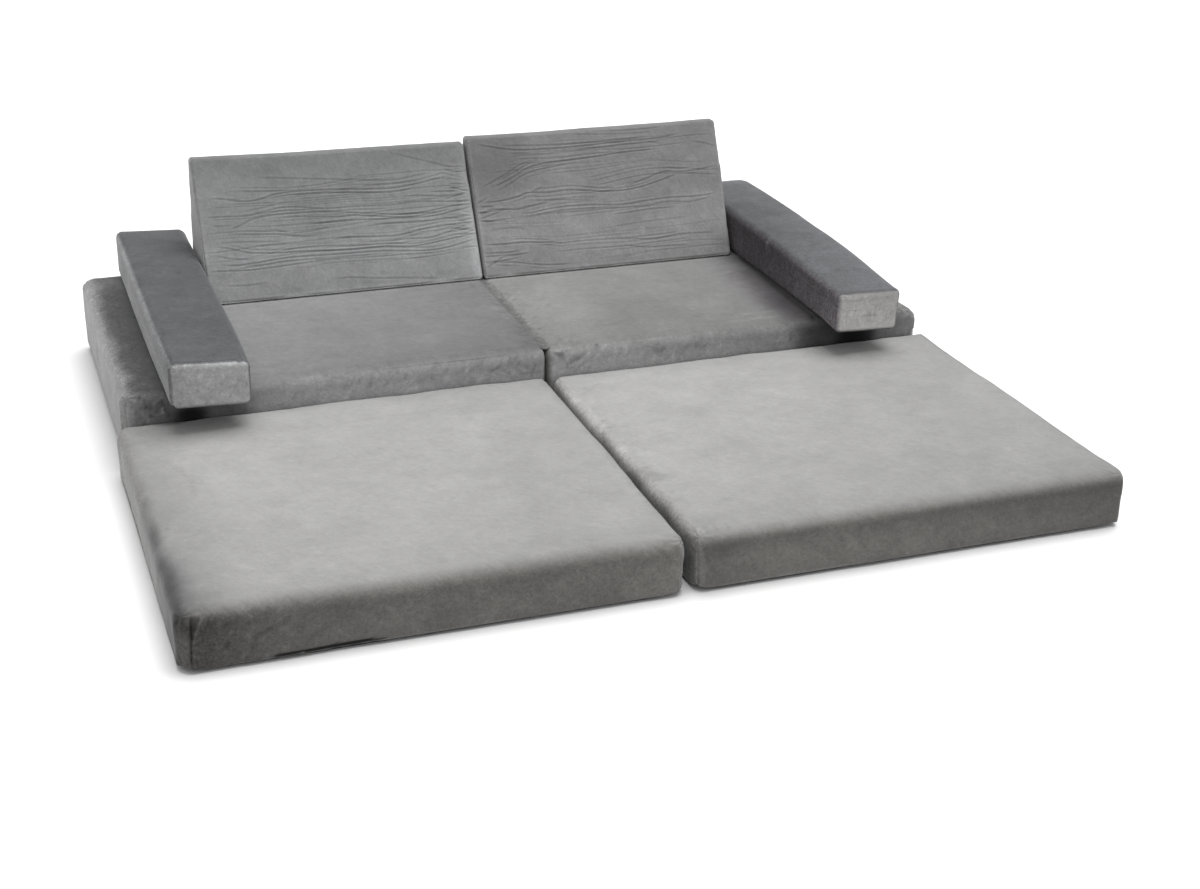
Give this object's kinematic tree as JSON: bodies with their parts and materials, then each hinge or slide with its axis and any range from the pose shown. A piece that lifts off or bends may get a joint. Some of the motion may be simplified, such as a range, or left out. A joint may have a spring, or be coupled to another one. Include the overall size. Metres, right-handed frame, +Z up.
{
  "type": "modular foam play sofa",
  "caption": "Low modular play sofa of loose foam blocks in zipped velvet covers: thin floor mats in front of thick folding bases, with wedge backs and bar arms on top.",
  "frame": {"origin": "on the floor, under the middle of the whole sofa", "axes": "+Z up, +X along the width, to the right as seen from the front, and the front looks along -Y"},
  "size_m": [1.6041, 1.4169, 0.4168],
  "materials": {
    "velvet": "short-pile grey velvet with a mottled nap",
    "foam": "soft open-cell polyurethane foam",
    "panel": "dark non-slip backing cloth",
    "zip_tape": "dark woven tape with a nylon coil",
    "zip_metal": "grey painted metal"
  },
  "bodies": {
    "base": {"rear_left_base_cover": "velvet", "rear_left_base_foam_core": "foam", "rear_left_base_bottom_panel": "panel", "rear_left_base_zip_tape": "zip_tape", "rear_right_base_cover": "velvet", "rear_right_base_foam_core": "foam", "rear_right_base_bottom_panel": "panel", "rear_right_base_zip_tape": "zip_tape", "base_fold_strip": "velvet"},
    "front_left_mat": {"front_left_mat_cover": "velvet", "front_left_mat_foam_core": "foam", "front_left_mat_bottom_panel": "panel", "front_left_mat_zip_tape": "zip_tape"},
    "front_right_mat": {"front_right_mat_cover": "velvet", "front_right_mat_foam_core": "foam", "front_right_mat_bottom_panel": "panel", "front_right_mat_zip_tape": "zip_tape"},
    "left_arm": {"left_arm_cover": "velvet", "left_arm_foam_core": "foam", "left_arm_zip_tape": "zip_tape"},
    "right_arm": {"right_arm_cover": "velvet", "right_arm_foam_core": "foam", "right_arm_zip_tape": "zip_tape"},
    "left_back": {"left_back_cover": "velvet", "left_back_foam_core": "foam", "left_back_zip_tape": "zip_tape"},
    "right_back": {"right_back_cover": "velvet", "right_back_foam_core": "foam", "right_back_zip_tape": "zip_tape"},
    "front_left_mat_slider": {"front_left_mat_zip_slider": "zip_metal"},
    "front_left_mat_tab": {"front_left_mat_zip_tab": "zip_metal"},
    "front_right_mat_slider": {"front_right_mat_zip_slider": "zip_metal"},
    "front_right_mat_tab": {"front_right_mat_zip_tab": "zip_metal"},
    "rear_left_base_slider": {"rear_left_base_zip_slider": "zip_metal"},
    "rear_left_base_tab": {"rear_left_base_zip_tab": "zip_metal"},
    "rear_right_base_slider": {"rear_right_base_zip_slider": "zip_metal"},
    "rear_right_base_tab": {"rear_right_base_zip_tab": "zip_metal"},
    "left_arm_slider": {"left_arm_zip_slider": "zip_metal"},
    "left_arm_tab": {"left_arm_zip_tab": "zip_metal"},
    "right_arm_slider": {"right_arm_zip_slider": "zip_metal"},
    "right_arm_tab": {"right_arm_zip_tab": "zip_metal"},
    "left_back_slider": {"left_back_zip_slider": "zip_metal"},
    "left_back_tab": {"left_back_zip_tab": "zip_metal"},
    "right_back_slider": {"right_back_zip_slider": "zip_metal"},
    "right_back_tab": {"right_back_zip_tab": "zip_metal"}
  },
  "joints": [
    {"name": "front_left_mat_pull_out", "type": "slide", "parent": "base", "child": "front_left_mat", "axis": [0, -1, 0], "range_m": [0, 0.5]},
    {"name": "front_right_mat_pull_out", "type": "slide", "parent": "base", "child": "front_right_mat", "axis": [0, -1, 0], "range_m": [0, 0.5]},
    {"name": "left_arm_lift_off", "type": "slide", "parent": "base", "child": "left_arm", "axis": [0, 0, 1], "range_m": [0, 0.3]},
    {"name": "right_arm_lift_off", "type": "slide", "parent": "base", "child": "right_arm", "axis": [0, 0, 1], "range_m": [0, 0.3]},
    {"name": "left_back_lift_off", "type": "slide", "parent": "base", "child": "left_back", "axis": [0, 0, 1], "range_m": [0, 0.35]},
    {"name": "right_back_lift_off", "type": "slide", "parent": "base", "child": "right_back", "axis": [0, 0, 1], "range_m": [0, 0.35]},
    {"name": "front_left_mat_zip_run", "type": "slide", "parent": "front_left_mat", "child": "front_left_mat_slider", "axis": [0, 1, 0], "range_m": [0, 0.517]},
    {"name": "front_left_mat_zip_tab_turn", "type": "hinge", "parent": "front_left_mat_slider", "child": "front_left_mat_tab", "pos_m": [-0.0093, -0.6077, 0.036], "axis": [0, 0, -1], "range_deg": [0, 170]},
    {"name": "front_right_mat_zip_run", "type": "slide", "parent": "front_right_mat", "child": "front_right_mat_slider", "axis": [0, 1, 0], "range_m": [0, 0.517]},
    {"name": "front_right_mat_zip_tab_turn", "type": "hinge", "parent": "front_right_mat_slider", "child": "front_right_mat_tab", "pos_m": [0.8007, -0.6077, 0.036], "axis": [0, 0, -1], "range_deg": [0, 170]},
    {"name": "rear_left_base_zip_run", "type": "slide", "parent": "base", "child": "rear_left_base_slider", "axis": [-1, 0, 0], "range_m": [0, 0.587]},
    {"name": "rear_left_base_zip_tab_turn", "type": "hinge", "parent": "rear_left_base_slider", "child": "rear_left_base_tab", "pos_m": [-0.1012, 0.6849, 0.046], "axis": [0, 0, -1], "range_deg": [0, 170]},
    {"name": "rear_right_base_zip_run", "type": "slide", "parent": "base", "child": "rear_right_base_slider", "axis": [-1, 0, 0], "range_m": [0, 0.587]},
    {"name": "rear_right_base_zip_tab_turn", "type": "hinge", "parent": "rear_right_base_slider", "child": "rear_right_base_tab", "pos_m": [0.6882, 0.6849, 0.046], "axis": [0, 0, -1], "range_deg": [0, 170]},
    {"name": "left_arm_zip_run", "type": "slide", "parent": "left_arm", "child": "left_arm_slider", "axis": [0, 1, 0], "range_m": [0, 0.399]},
    {"name": "left_arm_zip_tab_turn", "type": "hinge", "parent": "left_arm_slider", "child": "left_arm_tab", "pos_m": [-0.5708, 0.0067, 0.178], "axis": [0, 0, -1], "range_deg": [0, 170]},
    {"name": "right_arm_zip_run", "type": "slide", "parent": "right_arm", "child": "right_arm_slider", "axis": [0, 1, 0], "range_m": [0, 0.399]},
    {"name": "right_arm_zip_tab_turn", "type": "hinge", "parent": "right_arm_slider", "child": "right_arm_tab", "pos_m": [0.7092, 0.0067, 0.178], "axis": [0, 0, -1], "range_deg": [0, 170]},
    {"name": "left_back_zip_run", "type": "slide", "parent": "left_back", "child": "left_back_slider", "axis": [-1, 0, 0], "range_m": [0, 0.4225]},
    {"name": "left_back_zip_tab_turn", "type": "hinge", "parent": "left_back_slider", "child": "left_back_tab", "pos_m": [-0.0725, 0.62505, 0.18428], "axis": [0, 0.1568, -0.9876], "range_deg": [0, 170]},
    {"name": "right_back_zip_run", "type": "slide", "parent": "right_back", "child": "right_back_slider", "axis": [-1, 0, 0], "range_m": [0, 0.4225]},
    {"name": "right_back_zip_tab_turn", "type": "hinge", "parent": "right_back_slider", "child": "right_back_tab", "pos_m": [0.495, 0.62505, 0.18428], "axis": [0, 0.1568, -0.9876], "range_deg": [0, 170]}
  ]
}
